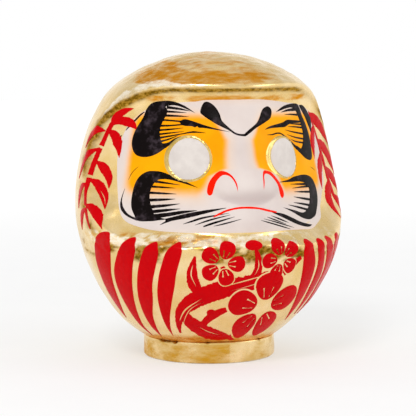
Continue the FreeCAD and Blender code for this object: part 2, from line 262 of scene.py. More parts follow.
def inner_grid(outer):
    """The inside of the wall, from the mouth up, on fewer rows."""
    rows = np.linspace(0, len(outer) - 1, INNER_ROWS + 2).astype(int)[1:]
    inside = (outer - grid_normals(outer) * WALL * MM)[rows]
    ring = outer[0] * (MOUTH_RADIUS * MM / np.linalg.norm(outer[0, :, :2], axis=1))[:, None]
    lips = [ring.copy(), ring.copy()]
    for lip, height in zip(lips, (outer[0, :, 2], outer[0, :, 2] + LIP * MM)):
        lip[:, 2] = height
    return np.concatenate([np.array(lips), inside])


def rings_to_faces(first, rows, columns, flip=False, closed=False):
    """Quads between rows that go round the axis. closed joins the last row to the first one."""
    faces = []
    for i in range(rows if closed else rows - 1):
        low, high = first + i * columns, first + (i + 1) % rows * columns
        for j in range(columns):
            k = (j + 1) % columns
            quad = (low + j, low + k, high + k, high + j)
            faces.append(quad[::-1] if flip else quad)
    return faces


def crown_fan(last, apex, flip=False):
    """Triangles from the row that starts at vertex last to the apex."""
    faces = [(last + j, last + (j + 1) % COLUMNS, apex) for j in range(COLUMNS)]
    return [f[::-1] for f in faces] if flip else faces


def make_skin(outer, material):
    """The hollow body, gilded: the outer skin, the inside of the wall and the mouth's edge between them."""
    inner = inner_grid(outer)
    top = outer[-1].mean(0)
    points = np.concatenate([outer.reshape(-1, 3), inner.reshape(-1, 3), [top, top - [0, 0, WALL * MM]]])
    count = len(outer) * COLUMNS
    apex = len(points) - 2
    faces = rings_to_faces(0, len(outer), COLUMNS) + crown_fan(count - COLUMNS, apex)
    faces += rings_to_faces(count, len(inner), COLUMNS, flip=True)
    faces += crown_fan(apex - COLUMNS, apex + 1, flip=True)
    for j in range(COLUMNS):
        k = (j + 1) % COLUMNS
        faces.append((k, j, count + j, count + k))
    piece = make_object("gilt_body", points, faces)
    tone_skin(piece, points)
    finish_piece(piece, material, "gilt_paper", "body_shell")


def tone_skin(piece, points):
    """How shaded, how amber and how highlighted the gilding is at each vertex. The shade is painted: a dark
    line under the brow rim, a band in the dip beside the face and patches on the ledge. The amber is a deeper
    orange on the crown, over the face, on the ledge and just above the foot. The highlight is painted too:
    pale crinkled patches on the ledge and glints above the brow rim."""
    azimuth, height = azimuth_of(points), points[:, 2] / MM
    off = np.abs(azimuth)
    ridge = np.interp(off, [0, 30, 45, 55, 65, 75, 82, 88], [212.5, 212.5, 212, 210.5, 206, 199, 188, 172])
    patches = crumple(points, (26, 26, 11), 4.4, 3)
    small = crumple(points, (8, 8, 6), 6.1, 3)
    broad = 1.6 + 1.7 * ease(45, 75, off)
    fades_right = 0.2 + 0.8 * ease(58, 44, azimuth)
    # A dark line of painted shade just under the brow rim, fading out towards the right.
    under_ridge = 1.6 * np.exp(-(((height - ridge + 0.5) / broad) ** 2)) * ease(92, 80, off) * fades_right
    under_ridge *= 1.0 + 0.6 * patches
    # A band of painted shade in the dip beside the face.
    side_edge = np.interp(height, [98, 110, 130, 160, 190, 200], [70, 80, 86, 88, 83, 76])
    beside = np.exp(-(((off - side_edge) / 4.5) ** 2)) * band(height, 96, 108, 188, 202)
    # Patches of painted shade on the ledge below the face.
    ledge = band(height, 82, 89, 94, 98) * ease(98, 75, off) * ease(0.0, 0.36, patches + 0.17)
    ledge *= 1.1 + 1.5 * small
    brown = np.clip(under_ridge + 1.1 * beside * (0.7 + patches) + 1.8 * ledge, 0, 1)
    fading = np.interp(height, [215.2, 217.2, 220.5, 226, 232, 239], [0, 1.15, 1.1, 0.92, 0.74, 0.4])
    crown = fading * band(azimuth, -110, -50, 0, 52) * (1.0 + 0.9 * patches)
    over_face = 0.95 * band(height, 202, 204, 206, 210) * ease(66, 52, off) * (1.0 + patches)
    joint = band(height, 15, 17, 19, 26)
    creases = crumple(points, (9, 9, 5), 7.7, 3)
    below_face = band(height, 92, 97, 104, 107) * ease(96, 72, off)
    # Painted highlight: pale crinkled patches on the ledge below the face.
    ledge_highlight = 1.1 * below_face * ease(-0.25, 0.15, creases)
    washed = 0.9 * below_face * ease(0.05, -0.3, creases) * ease(20, -20, azimuth)
    ledge_highlight *= 1 - 0.5 * ease(5, 35, azimuth)
    # Painted highlight: pale glints just above the brow rim, taller on the left.
    tall = 1.2 + 3.3 * ease(-30, -62, azimuth)
    glint = np.exp(-(((height - ridge - 2 - tall) / tall) ** 2)) * band(azimuth, -98, -80, -28, 0)
    glint *= 1.1 + 0.8 * patches + 1.0 * small
    amber = np.clip(crown + over_face + washed + 0.8 * joint, 0, 1)
    set_fields(piece, brown=brown, amber=amber, bright=np.clip(ledge_highlight + glint, 0, 1))


# ---------------- paint


class Chart:
    """Turns (azimuth, height) into points on the finished skin."""

    def __init__(self, outer):
        faces = rings_to_faces(0, len(outer), COLUMNS)
        self.tree = BVHTree.FromPolygons([Vector(p) for p in outer.reshape(-1, 3)], faces)
        self.points = outer
        self.normals = grid_normals(outer)

    def hit(self, azimuth, height):
        out = ray_at(math.radians(azimuth), 0)
        return self.cast(out * FAR + Vector((0, 0, height * MM)), -out)

    def cast(self, start, ray):
        """Where the ray meets the skin, and the skin's soft normal there."""
        found, _, face, _ = self.tree.ray_cast(start, ray)
        i, j = divmod(face, COLUMNS)
        k = (j + 1) % COLUMNS
        soft = self.normals[i, j] + self.normals[i, k] + self.normals[i + 1, j] + self.normals[i + 1, k]
        return found, Vector(soft).normalized()

    def scale(self, azimuth, height):
        """Millimetres of skin to a degree of azimuth at this place."""
        found = self.hit(azimuth, height)[0]
        return math.radians(math.hypot(found.x, found.y)) / MM

    def brush(self, *nodes):
        """The outline of one brush stroke through nodes of (azimuth, height, width in millimetres). Where the
        width is left out, it is TIP."""
        path = smooth_path([(*node, TIP)[:3] for node in nodes], False)
        scale = self.scale(*nodes[len(nodes) // 2][:2])
        flat = path[:, :2] * [scale, 1]
        along = np.gradient(flat, axis=0)
        along /= np.maximum(np.linalg.norm(along, axis=1, keepdims=True), 1e-9)
        across = np.stack([-along[:, 1], along[:, 0]], 1)
        ragged = [1 + 0.16 * noise.noise(Vector((p[0] * 0.6, p[1] * 0.6, 2.0))) for p in flat]
        half = np.maximum(path[:, 2], 0.16) / 2 * ragged
        left, right = flat + across * half[:, None], flat - across * half[:, None]
        loop = np.concatenate([left, right[::-1]])
        return loop / [scale, 1]

    def strokes(self, *lines):
        return [self.brush(*nodes) for nodes in lines]


def inside_any(loops, points):
    """True for each point inside at least one loop, by counting the edges to its right."""
    inside = np.zeros(len(points), bool)
    for loop in loops:
        a, b = loop, np.roll(loop, -1, 0)
        crosses = (a[:, 1][:, None] > points[:, 1]) != (b[:, 1][:, None] > points[:, 1])
        with np.errstate(divide="ignore", invalid="ignore"):
            at = (b[:, 0] - a[:, 0])[:, None] * (points[:, 1] - a[:, 1][:, None])
            at = at / (b[:, 1] - a[:, 1])[:, None] + a[:, 0][:, None]
        inside |= (crosses & (points[:, 0] < at)).sum(0) % 2 == 1
    return inside


def fill_points(loops, pitch):
    """A staggered grid of points inside the loops, clear of their edges."""
    edge = np.concatenate(loops)
    low, high = edge.min(0), edge.max(0)
    rows = np.arange(low[1] + pitch / 2, high[1], pitch * 0.87)
    columns = np.arange(low[0] + pitch / 4, high[0], pitch)
    grid = [(x + pitch / 2 * (i % 2), y) for i, y in enumerate(rows) for x in columns]
    grid = np.array(grid).reshape(-1, 2)
    grid = grid[inside_any(loops, grid)]
    clear = [np.min(np.hypot(edge[:, 0] - p[0], edge[:, 1] - p[1])) > 0.45 * pitch for p in grid]
    return grid[np.array(clear, bool)] if len(grid) else grid


def counterclockwise(loop):
    after = np.roll(loop, -1, 0)
    return loop if np.sum(loop[:, 0] * after[:, 1] - after[:, 0] * loop[:, 1]) > 0 else loop[::-1]


def triangulate(adds, cuts, pitch):
    """The union of the loops in adds less those in cuts, as flat points and triangles."""
    loops = [counterclockwise(loop) for loop in adds + cuts]
    faces, start = [], 0
    for loop in loops:
        faces.append(list(range(start, start + len(loop))))
        start += len(loop)
    flat = np.concatenate(loops + [fill_points(adds, pitch)])
    found = delaunay_2d_cdt([Vector(p) for p in flat], [], faces, 0, 1e-4, True)
    points, triangles, sources = np.array([tuple(v) for v in found[0]]), found[2], found[5]
    kept = []
    for triangle, source in zip(triangles, sources):
        if any(s < len(adds) for s in source) and not any(s >= len(adds) for s in source):
            a, b, c = (points[k] for k in triangle)
            turn = (b[0] - a[0]) * (c[1] - a[1]) - (b[1] - a[1]) * (c[0] - a[0])
            kept.append(tuple(triangle) if turn > 0 else tuple(triangle)[::-1])
    used = sorted({k for t in kept for k in t})
    number = {k: i for i, k in enumerate(used)}
    return points[used], [tuple(number[k] for k in t) for t in kept]


def paint(chart, name, adds, cuts, lift, pitch, bead=0.6):
    """A closed film of paint on the skin, and the (azimuth, height) of its vertices. The film covers the
    loops in adds less those in cuts. bead is the share of its lift that is left at its edge."""
    stretch = np.array([CHART_SCALE, 1])
    flat, triangles = triangulate([a * stretch for a in adds], [c * stretch for c in cuts], pitch)
    flat = flat / stretch
    at_rim = {k for edge in rim_of(triangles) for k in edge}
    tops, bottoms = [], []
    for k, (azimuth, height) in enumerate(flat):
        found, normal = chart.hit(azimuth, height)
        tops.append(found + normal * (lift * (bead if k in at_rim else 1) * MM))
        bottoms.append(found - normal * PAINT_DEPTH * MM)
    return closed_sheet(name, tops, bottoms, triangles), np.concatenate([flat, flat])


def film(chart, name, material, slot, adds, cuts=(), lift=INK_LIFT, pitch=1.5, bead=0.6):
    """Paints a film and finishes it."""
    finish_piece(paint(chart, name, adds, cuts, lift, pitch, bead)[0], material, slot)


def red_film(chart, name, material, adds, cuts=(), lift=RED_LIFT, pitch=1.9):
    film(chart, name, material, "red_enamel", adds, cuts, lift, pitch)


def outline(*points):
    """A closed curve through points of (azimuth, height)."""
    return smooth_path(points, True)


def oval(azimuth, height, half_turn, half_height, seed=0.0):
    """A hand-drawn oval."""
    loop = []
    for t in np.linspace(0, 2 * math.pi, 90, endpoint=False):
        x, y = math.cos(t), math.sin(t)
        wobble = 1 + 0.012 * noise.noise(Vector((x * 1.5 + seed, y * 1.5, seed)))
        loop.append((azimuth + half_turn * x * wobble, height + half_height * y * wobble))
    return np.array(loop)


# ---------------- materials


class Finish:
    """A material and a short way to make and join its nodes."""

    def __init__(self, name):
        self.material = bpy.data.materials.new(name)
        self.material.use_nodes = True
        self.tree = self.material.node_tree
        self.tree.nodes.clear()
        self.shader = self.node("BsdfPrincipled")
        self.node("OutputMaterial", Surface=self.shader.outputs[0])
        self.place = self.node("TexCoord").outputs["Object"]

    def put(self, socket, value):
        if isinstance(value, bpy.types.NodeSocket):
            self.tree.links.new(value, socket)
        else:
            socket.default_value = value

    def fill(self, node, **values):
        """Sets a node's sockets by name; an underscore stands for a space."""
        for name, value in values.items():
            self.put(node.inputs[name.replace("_", " ")], value)
        return node

    def node(self, kind, **values):
        return self.fill(self.tree.nodes.new("ShaderNode" + kind), **values)

    def set(self, **values):
        """Sets the shader's own sockets and returns the material."""
        self.fill(self.shader, **values)
        return self.material

    def math(self, kind, *values):
        node = self.node("Math")
        node.operation = kind
        for socket, value in zip(node.inputs, values):
            self.put(socket, value)
        return node.outputs[0]

    def noise(self, size, detail=3.0, rough=0.5, stretch=(1, 1, 1)):
        """Noise from 0 to 1 with cells of that size in millimetres."""
        place = self.node("Mapping", Scale=stretch, Vector=self.place).outputs[0]
        scale = 1 / (size * MM)
        return self.node("TexNoise", Vector=place, Scale=scale, Detail=detail, Roughness=rough).outputs[0]

    def field(self, name):
        node = self.node("Attribute")
        node.attribute_name = name
        return node.outputs["Fac"]

    def spread(self, value, low, high, to_low=0.0, to_high=1.0):
        """Maps low..high to to_low..to_high, smoothly and no further."""
        node = self.node("MapRange")
        node.interpolation_type = "SMOOTHSTEP"
        for socket, number in zip(node.inputs, (value, low, high, to_low, to_high)):
            self.put(socket, number)
        return node.outputs[0]

    def mix(self, share, first, second):
        node = self.node("Mix")
        node.data_type = "RGBA"
        self.put(node.inputs[0], share)
        for socket, colour in zip((node.inputs[6], node.inputs[7]), (first, second)):
            self.put(socket, (*colour, 1) if isinstance(colour, tuple) else colour)
        return node.outputs[2]

    def bump(self, height, distance):
        """Adds relief that is distance millimetres from its lowest to its highest."""
        return self.node("Bump", Height=height, Distance=distance * MM, Strength=1.0).outputs[0]


CHAMPAGNE = (0.83, 0.585, 0.225)
PALE_GILT = (0.93, 0.715, 0.385)
AMBER = (0.66, 0.255, 0.004)
FOOT_AMBER = (0.60, 0.31, 0.02)
OCHRE = (0.40, 0.195, 0.0)
OLIVE = (0.15, 0.072, 0.0)


def gilding(name, toned=AMBER, pale=PALE_GILT, mid=CHAMPAGNE):
    """Gold lacquer brushed over paper: mottled, and mixed by three vertex fields towards a deeper orange,
    towards ochre and olive painted shade (on the foot band they darken its chips) and towards a near-white
    painted highlight."""
    f = Finish(name)
    mottle = f.noise(26, 4, 0.6)
    streaks = f.noise(6, 5, 0.68, (1, 1, 0.4))
    colour = f.mix(f.spread(mottle, 0.35, 0.7), mid, pale)
    colour = f.mix(f.spread(streaks, 0.55, 0.8, 0, 0.22), colour, (0.70, 0.43, 0.10))
    dashes = f.math("MULTIPLY_ADD", f.noise(4.6, 4, 0.6, (0.42, 0.8, 1.7)), 1.6, f.field("amber"))
    amber_share = f.spread(dashes, 1.0, 2.05)
    colour = f.mix(amber_share, colour, toned)
    # Near-white painted highlight where its vertex field asks for it.
    creases = f.math("MULTIPLY_ADD", f.noise(3.2, 4, 0.65, (0.7, 0.7, 1.6)), 1.4, f.field("bright"))
    bright = f.spread(creases, 1.08, 1.95)
    colour = f.mix(bright, colour, (1.0, 0.90, 0.72))
    # Ochre and olive painted shade where its vertex field asks for it; on the foot band this darkens the
    # chips.
    torn = f.noise(3.5, 4, 0.7, (0.8, 0.8, 1.3))
    shade_and_chip_share = f.math("MULTIPLY", f.field("brown"), f.spread(torn, 0.25, 0.6, 0.78, 1.0))
    colour = f.mix(shade_and_chip_share, colour, f.mix(f.spread(torn, 0.4, 0.62), OCHRE, OLIVE))
    edge = f.mix(shade_and_chip_share, f.mix(amber_share, (1, 1, 1), (1.0, 0.66, 0.25)), (0.75, 0.5, 0.15))
    rough = f.spread(f.noise(14, 5, 0.6), 0.3, 0.75, 0.17, 0.33)
    relief = f.bump(f.noise(3.6), 0.035)
    f.set(Base_Color=colour, Metallic=f.spread(bright, 0, 1, 0.9, 0.6), Roughness=rough, Normal=relief)
    return f.set(Specular_Tint=edge, Coat_Weight=0.06, Coat_Roughness=0.12)


def face_lacquer():
    """Off-white ground with yellow blown over the cheeks."""
    f = Finish("face_lacquer")
    cloud = f.noise(30)
    ground = f.mix(f.spread(cloud, 0.3, 0.7), (0.672, 0.58, 0.545), (0.725, 0.64, 0.60))
    speckle = f.spread(f.noise(1.4, 2), 0.68, 0.8, 0, 0.10)
    ground = f.mix(speckle, ground, (0.62, 0.52, 0.44))
    warm = f.mix(f.field("blush"), ground, (0.92, 0.60, 0.34))
    warm = f.mix(f.field("shade"), warm, (0.50, 0.41, 0.40))
    wave = f.math("MULTIPLY_ADD", f.math("SUBTRACT", f.noise(9), 0.5), 0.25, f.field("yellow"))
    yellow = f.mix(f.spread(f.noise(26), 0.3, 0.7), (0.98, 0.405, 0.0), (0.94, 0.335, 0.0))
    colour = f.mix(f.spread(wave, 0.05, 0.9), warm, yellow)
    relief = f.bump(f.noise(2.2, 3, 0.6), 0.05)
    rough = f.spread(f.noise(10), 0.3, 0.7, 0.36, 0.5)
    return f.set(Base_Color=colour, Roughness=rough, Normal=relief, Specular_IOR_Level=0.05)


def ink():
    """Black paint with mottled purple-grey patches of painted sheen."""
    f = Finish("brush_ink")
    # Lighter purple-grey patches: painted sheen.
    sheen_mottle = f.spread(f.noise(8, 4, 0.62), 0.50, 0.76)
    colour = f.mix(sheen_mottle, (0.004, 0.002, 0.002), (0.052, 0.037, 0.046))
    drag = f.noise(1.3, 3, 0.6, (0.3, 0.3, 1))
    colour = f.mix(f.spread(drag, 0.62, 0.8, 0, 0.35), colour, (0.035, 0.022, 0.018))
    rough = f.spread(sheen_mottle, 0, 1, 0.30, 0.5)
    relief = f.bump(drag, 0.05)
    return f.set(Base_Color=colour, Roughness=rough, Normal=relief, Specular_IOR_Level=0.05)


def enamel(name, colour, deep):
    """Opaque red brushed on in one coat, with faint drag marks and a gloss."""
    f = Finish(name)
    drag = f.noise(2.4, 4, 0.6, (1, 1, 0.25))
    tone = f.mix(f.spread(drag, 0.4, 0.72, 0, 0.6), colour, deep)
    tone = f.mix(f.spread(f.noise(28), 0.35, 0.75, 0, 0.35), tone, deep)
    rough = f.spread(f.noise(9), 0.3, 0.7, 0.16, 0.3)
    relief = f.bump(drag, 0.03)
    return f.set(Base_Color=tone, Roughness=rough, Normal=relief, Specular_IOR_Level=0.04)


def eye_white():
    f = Finish("eye_white")
    swirl = f.noise(8)
    tone = f.mix(f.spread(swirl, 0.35, 0.7), (0.64, 0.58, 0.54), (0.71, 0.65, 0.605))
    relief = f.bump(swirl, 0.16)
    rough = f.spread(f.noise(3), 0.3, 0.7, 0.35, 0.5)
    return f.set(Base_Color=tone, Roughness=rough, Normal=relief, Specular_IOR_Level=0.25)


def matte(name, light, dark, cell, stretch=(1, 1, 1), depth=0.12):
    """A plain fibrous or gritty surface in two tones."""
    f = Finish(name)
    fleck = f.noise(cell, 5, 0.65, stretch)
    blotch = f.noise(cell * 9)
    tone = f.mix(f.spread(fleck, 0.35, 0.7), light, dark)
    tone = f.mix(f.spread(blotch, 0.45, 0.8, 0, 0.4), tone, dark)
    rough = f.spread(fleck, 0.3, 0.7, 0.75, 0.92)
    return f.set(Base_Color=tone, Roughness=rough, Normal=f.bump(fleck, depth))


# ---------------- the face


def paint_face_coat(chart, material):
    """The white ground of the face, with fields for the yellow, the blush round it and the nose's shade."""
    loop = outline(
        (0, 204.8), (-20, 204.6), (-27, 203.4), (-39, 202.4), (-52, 199.6), (-60, 196), (-66.5, 188.5),
        (-70, 177), (-71, 162), (-70, 146), (-67.5, 128), (-65, 119), (-61, 113.2), (-55, 109.8),
        (-45, 107), (-30, 106), (-15, 106.3), (0, 106.6), (20, 106), (32, 105.2), (41, 104.8), (50, 108.4),
        (56, 112.5), (61, 121), (66.5, 130), (71, 139), (72.5, 153), (72, 168), (70.5, 180), (68, 190),
        (62.5, 196.5), (50, 200.2), (40, 201.4), (30, 202.9), (15, 204.6),
    )
    coat, flat = paint(chart, "face_coat", [loop], (), COAT_LIFT, 1.4)
    azimuth, height = flat.T
    inner_left = np.interp(height, [134, 148, 154, 175, 196], [-20, -16, -7.5, -7, -15])
    inner_right = np.interp(height, [134, 148, 154, 175, 196], [23, 20, 6, 3.5, 14])
    sides = band(azimuth, -69, -60.5, inner_left - 6, inner_left + 1.5)
    sides += band(azimuth, inner_right - 2.5, inner_right + 4, 61, 68)
    yellow = sides * band(height, 127, 143, 187, 199)
    haze = band(azimuth, -72, -58, inner_left - 5, inner_left + 5)
    haze += band(azimuth, inner_right - 6, inner_right + 4, 60, 74)
    rim = ease(205, 199, height) * ease(104, 110, height)
    blush = 0.45 * haze * band(height, 122, 136, 190, 203) + 0.2 * (1 - rim)
    edge = nose_edge(azimuth)
    top = 138.8 - 4.6 * ((azimuth - NOSE_MIDDLE) / NOSE_HALF) ** 2
    under_nose = ease(20, 14, np.abs(azimuth - NOSE_MIDDLE)) * ease(edge - 0.9, edge + 0.5, height)
    shade = 0.42 * under_nose * ease(top + 2, top - 6, height)
    set_fields(coat, yellow=yellow, blush=blush, shade=shade)
    finish_piece(coat, material, "face_white")


def left_brow(chart):
    """A dark cloud at the temple, hairs that run in from it, and the dart over the eye."""
    cloud = outline(
        (-26.8, 194.6), (-26.8, 194.6), (-34, 200), (-41.5, 203.2), (-48, 203.6), (-55, 202.1),
        (-58.7, 197.5), (-60.3, 190.7), (-63.2, 182), (-64.5, 173.6), (-63.6, 167.3), (-61, 162.6),
        (-56.5, 161.1), (-51.5, 162.3), (-47, 165.6), (-43, 170.4), (-40, 173.9), (-40, 173.9),
        (-46, 171.8), (-47.8, 176), (-48.6, 181.5), (-47.4, 188), (-45.6, 192.9), (-45.2, 196.5),
        (-46.5, 199.3), (-41, 200.3), (-35, 198.6),
    )
    dart = outline(
        (-36.6, 188), (-33.5, 190.1), (-28, 188.6), (-20, 185.4), (-7, 180.9), (-7, 180.9), (-20, 183.5),
        (-24.5, 183.9), (-25.5, 184.9), (-27, 184.1), (-29, 184.9), (-34, 185.3),
    )
    hairs = chart.strokes(
        [(-46, 198.8, 2.2), (-37, 197.6, 1.5), (-30.5, 196.1)],
        [(-46, 195.6, 1.8), (-39, 195.3, 1.2), (-32.5, 194.9)],
        [(-47.5, 192.6, 1.8), (-39, 192.4, 1.4), (-31, 192)],
        [(-49, 189.3, 1.7), (-42, 188.9, 1.2), (-34.5, 188.2, 1.2)],
        [(-50, 184.8, 1.7), (-42, 185.2, 1.2), (-34, 186.2, 1)],
        [(-50, 181.4, 1.6), (-41, 182.5, 1.1), (-34, 183.6)],
        [(-50, 178.3, 1.6), (-41, 179.8, 1), (-33.5, 181)],
        [(-49.5, 175.6, 1.7), (-40, 177.8, 1.1), (-34, 179.3, 0.8), (-28, 180.6, 1.3), (-20.5, 180.1)],
        [(-48.5, 172.8, 1.7), (-42.5, 175, 1.1), (-37, 177.9)],
        [(-47, 167.8, 3), (-42.5, 171.4, 2.3), (-39, 175, 1.2), (-35.5, 177.1, 0.3)],
    )
    edge = chart.strokes(
        [(-60, 195, 0.8), (-62.5, 192.1, 1.4), (-65, 187.9, 1.5), (-67.5, 183.6, 1.2), (-69, 180.7, 0.3)],
        [(-70.7, 177, 0.4), (-71.8, 174.6, 1), (-72.2, 173.4, 0.3)],
        [(-72.8, 172, 0.3), (-73.3, 170.4, 0.9), (-73.6, 169, 0.3)],
    )
    return [cloud, dart, *hairs, *edge]


def right_brow(chart):
    cloud = outline(
        (27.5, 194.6), (27.5, 194.6), (34, 197.9), (40, 199.6), (47, 200.3), (53, 199.6), (56, 195.8),
        (57.5, 190.5), (60.3, 184), (62.2, 175.7), (62.5, 168), (61.8, 159.5), (59.8, 156.1), (56.5, 155.9),
        (52, 158.1), (47, 162.9), (41.5, 168.9), (41.5, 168.9), (46, 167.5), (49.5, 165.5), (52.3, 168.5),
        (54, 172.9), (54.8, 177.1), (54, 184.3), (52, 190), (49.5, 195.2), (45, 197.2), (38, 196.6),
        (32, 195.4),
    )
    dart = outline(
        (14.3, 181.8), (14.3, 181.8), (20, 184.3), (32.5, 186.4), (38, 188.1), (45, 187.6), (54, 186.6),
        (54, 185.2), (41, 184.9), (35, 182.9), (27.5, 182.8), (20, 182.6),
    )
    hairs = chart.strokes(
        [(50, 195.6, 2.4), (40, 195.3, 1.7), (32.5, 194.1)],
        [(53, 191.1, 1.7), (44, 192, 1.2), (36, 192.3)],
        [(56, 183.5, 1.5), (47, 184.4, 1), (40, 185)],
        [(56.5, 180.9, 1.5), (46, 182.3, 1.1), (38, 182.9)],
        [(56.5, 176, 1.6), (43, 178.6, 1.1), (34.5, 180.7)],
        [(56.5, 172, 1.6), (45, 174.3, 1.1), (36, 177.1)],
        [(55.5, 169.1, 1.6), (45, 171.1, 1.1), (39, 173.6)],
        [(16.3, 177.9), (21.5, 177.9, 1), (26, 178.6, 1.1), (30, 177.9, 1.2), (34, 175, 1.5),
         (38, 172.1, 1.8), (42, 168.6, 2.2), (48, 163.6, 3)],
    )
    edge = outline(
        (55, 198.6), (55, 198.6), (59, 198.6), (63, 195.7), (66.5, 190.7), (68.8, 187.9), (67, 180),
        (66.3, 172.1), (66.3, 172.1), (64.5, 179.3), (63, 183.6), (60.5, 190), (57.5, 194.6),
    )
    return [cloud, dart, *hairs, edge]


def left_beard(chart):
    """The beard's cloud on the cheek, its hairs, and whiskers towards the mouth."""
    cloud = outline(
        (-24, 139.3), (-24, 139.3), (-31, 143.6), (-40, 148.2), (-45, 150.4), (-49, 151), (-53.5, 150.4),
        (-57.4, 147), (-59.8, 141), (-60.8, 131.4), (-60.4, 123.5), (-58.3, 117.9), (-55.2, 113.4),
        (-49, 113.4), (-45, 114.3), (-40, 115.4), (-40, 115.4), (-46.5, 117.6), (-48.3, 121.5),
        (-50.3, 128), (-50.8, 134.3), (-49.8, 140), (-47, 144.3), (-41.5, 145), (-34, 143),
    )
    hairs = chart.strokes(
        [(-51, 143.6, 2.2), (-42, 142.3, 1.3), (-34, 141.1)],
        [(-52, 139.4, 1.8), (-43, 139, 1.2), (-36.5, 138.7)],
        [(-52, 134.7, 1.9), (-43, 134.5, 1.5), (-35.8, 134.4)],
        [(-52, 129, 2.3), (-43, 129.9, 1.8), (-36.3, 130.7)],
        [(-52, 123.8, 2.5), (-42, 125.5, 2), (-33.5, 127.3)],
        [(-50.5, 120.2, 2.6), (-41, 122.1, 2.1), (-33.3, 123.6)],
        [(-50, 116.7, 3.6), (-40, 118.9, 3), (-32, 121.1, 2.2), (-24.5, 122.7, 0.3)],
        [(-41, 114.6, 2.4), (-33, 117.4, 3.2), (-24, 120.6, 3), (-17, 123, 1.7), (-10.5, 125)],
    )
    whiskers = chart.strokes(
        [(-43.8, 111, 0.3), (-40, 113.9, 1.6), (-35.5, 116.6, 2.6)],
        [(-31.5, 112.3), (-27, 114.6, 1.3), (-21, 117.6, 1.4), (-9.5, 121.2)],
        [(-25.5, 111.8), (-20, 115, 1.2), (-15, 117.4, 1), (-8.8, 120)],
        [(-21.3, 110.9, 0.9), (-18, 112.9, 1.5), (-12.5, 115.8, 1.2), (-7, 118.6)],
        [(-16.5, 111.4), (-11.5, 113.4, 1.1), (-4, 116.9)],
    )
    cheek = chart.strokes(
        [(-65, 137.1), (-66, 129.3, 0.9), (-65.3, 123.6, 1.9), (-63, 119.3, 1.9), (-60, 116.4, 1.5),
         (-55.5, 114, 1.4)],
        [(-59, 153.9), (-62, 149.3, 0.5), (-63.8, 143.6)],
    )
    return [cloud, *hairs, *whiskers, *cheek]


def right_beard(chart):
    cloud = outline(
        (19.5, 142.1), (19.5, 142.1), (30, 143.2), (35, 144.6), (44, 145.5), (51, 144.7), (56.5, 141.4),
        (59.3, 135), (59.5, 128), (57.5, 121), (53, 114.3), (49, 112), (44, 111.2), (37, 113.6),
        (29, 118.6), (21, 123.2), (21, 123.2), (30, 120.2), (39, 117.2), (44.8, 119.5), (48.5, 124.5),
        (50.2, 131), (49.8, 136), (46, 139.2), (40, 140.8), (30, 141.3),
    )
    hairs = chart.strokes(
        [(49.5, 137.8, 2.2), (39, 138.9, 1.2), (31, 139.6)],
        [(51.5, 136, 1.8), (41, 136.4, 1.2), (32, 136.4)],
        [(52, 131.6, 1.8), (41, 132.8, 1.3), (33.3, 133.6)],
        [(51.5, 125.4, 2.1), (40, 128, 1.5), (32, 130)],
        [(49.5, 121.2, 2.1), (39, 123.9, 1.5), (31, 125.7)],
        [(46.5, 118, 2), (35, 121.7, 1.5), (25.8, 124.6)],
    )
    sword = outline(
        (11.3, 121.2), (11.3, 121.2), (20, 118.7), (27.5, 114.8), (35, 110.7), (44, 107.2), (44, 107.2),
        (39, 106.2), (30, 109.9), (22.5, 114.2), (15, 118.7),
    )
    whiskers = chart.strokes(
        [(11.5, 118.2), (18, 114.6, 1.2), (24, 111.4)],
        [(9, 117.5), (13.5, 115, 1), (22, 110.5)],
        [(7, 116.4), (17, 111.9, 1), (28, 107.1)],
        [(5.5, 115.4), (10, 113.2, 0.9), (20, 108.6, 0.9), (25, 106.4)],
        [(57, 150.4), (59.5, 149, 0.5), (62, 147.1)],
    )
    return [cloud, *hairs, sword, *whiskers]


def frown():
    """Two drops that run down to meet between the eyes."""
    left = outline(
        (-20.5, 203.4), (-22.5, 201.5), (-24, 196.1), (-22.5, 193.3), (-15, 187.1), (-8.5, 182.6),
        (-5, 179.3), (-2.5, 178.2), (0.6, 177.9), (0.6, 179.4), (-2.5, 179.6), (-5, 180.9), (-8, 184.6),
        (-11.2, 189.2), (-12.4, 194.3), (-14.5, 198.9), (-17.5, 202.2),
    )
    right = outline(
        (0, 179.5), (3, 182.6), (9, 187.2), (12, 191), (14, 194.6), (16.5, 197.7), (20.5, 199.2),
        (23.2, 197.1), (23.2, 193.9), (21, 190), (16, 187.3), (8, 183.6), (3.5, 180.3), (0.4, 177.9),
    )
    return [left, right]


def nostrils():
    """Two red arches."""
    left = outline(
        (-19.6, 137.5), (-19.3, 135), (-18.2, 133.9), (-17, 135.2), (-16.3, 138.8), (-15, 144.3),
        (-12.5, 148.4), (-10.2, 149.2), (-8, 147.4), (-6.5, 143), (-5.6, 137.5), (-5.6, 137.5),
        (-5.9, 143.6), (-7.6, 148.8), (-10, 151.4), (-13.2, 151.8), (-16.5, 148), (-18.8, 142.9),
    )
    right = outline(
        (6.9, 138.2), (6.9, 138.2), (7, 143), (7.9, 148.2), (10, 151.6), (13, 151.1), (16, 149.4),
        (20, 143), (23, 136), (23.2, 132.2), (21.8, 130.2), (20.4, 131.8), (19, 138.6), (16.5, 144.1),
        (13.5, 148.2), (10.3, 149.4), (8.6, 147.4), (7.8, 143.5),
    )
    return left, right


def mouth_line(chart):
    """A thin red line that turns down at both ends."""
    return chart.brush(
        (-16.5, 118.2, 0.9), (-13.5, 120.7, 1.5), (-10, 123.2, 1.4), (-5, 124.9, 1.4), (0, 125, 1.5),
        (5, 124.1, 1.4), (10, 122.1, 1.6), (15.5, 120.3, 1),
    )


# ---------------- the robe and its ornaments


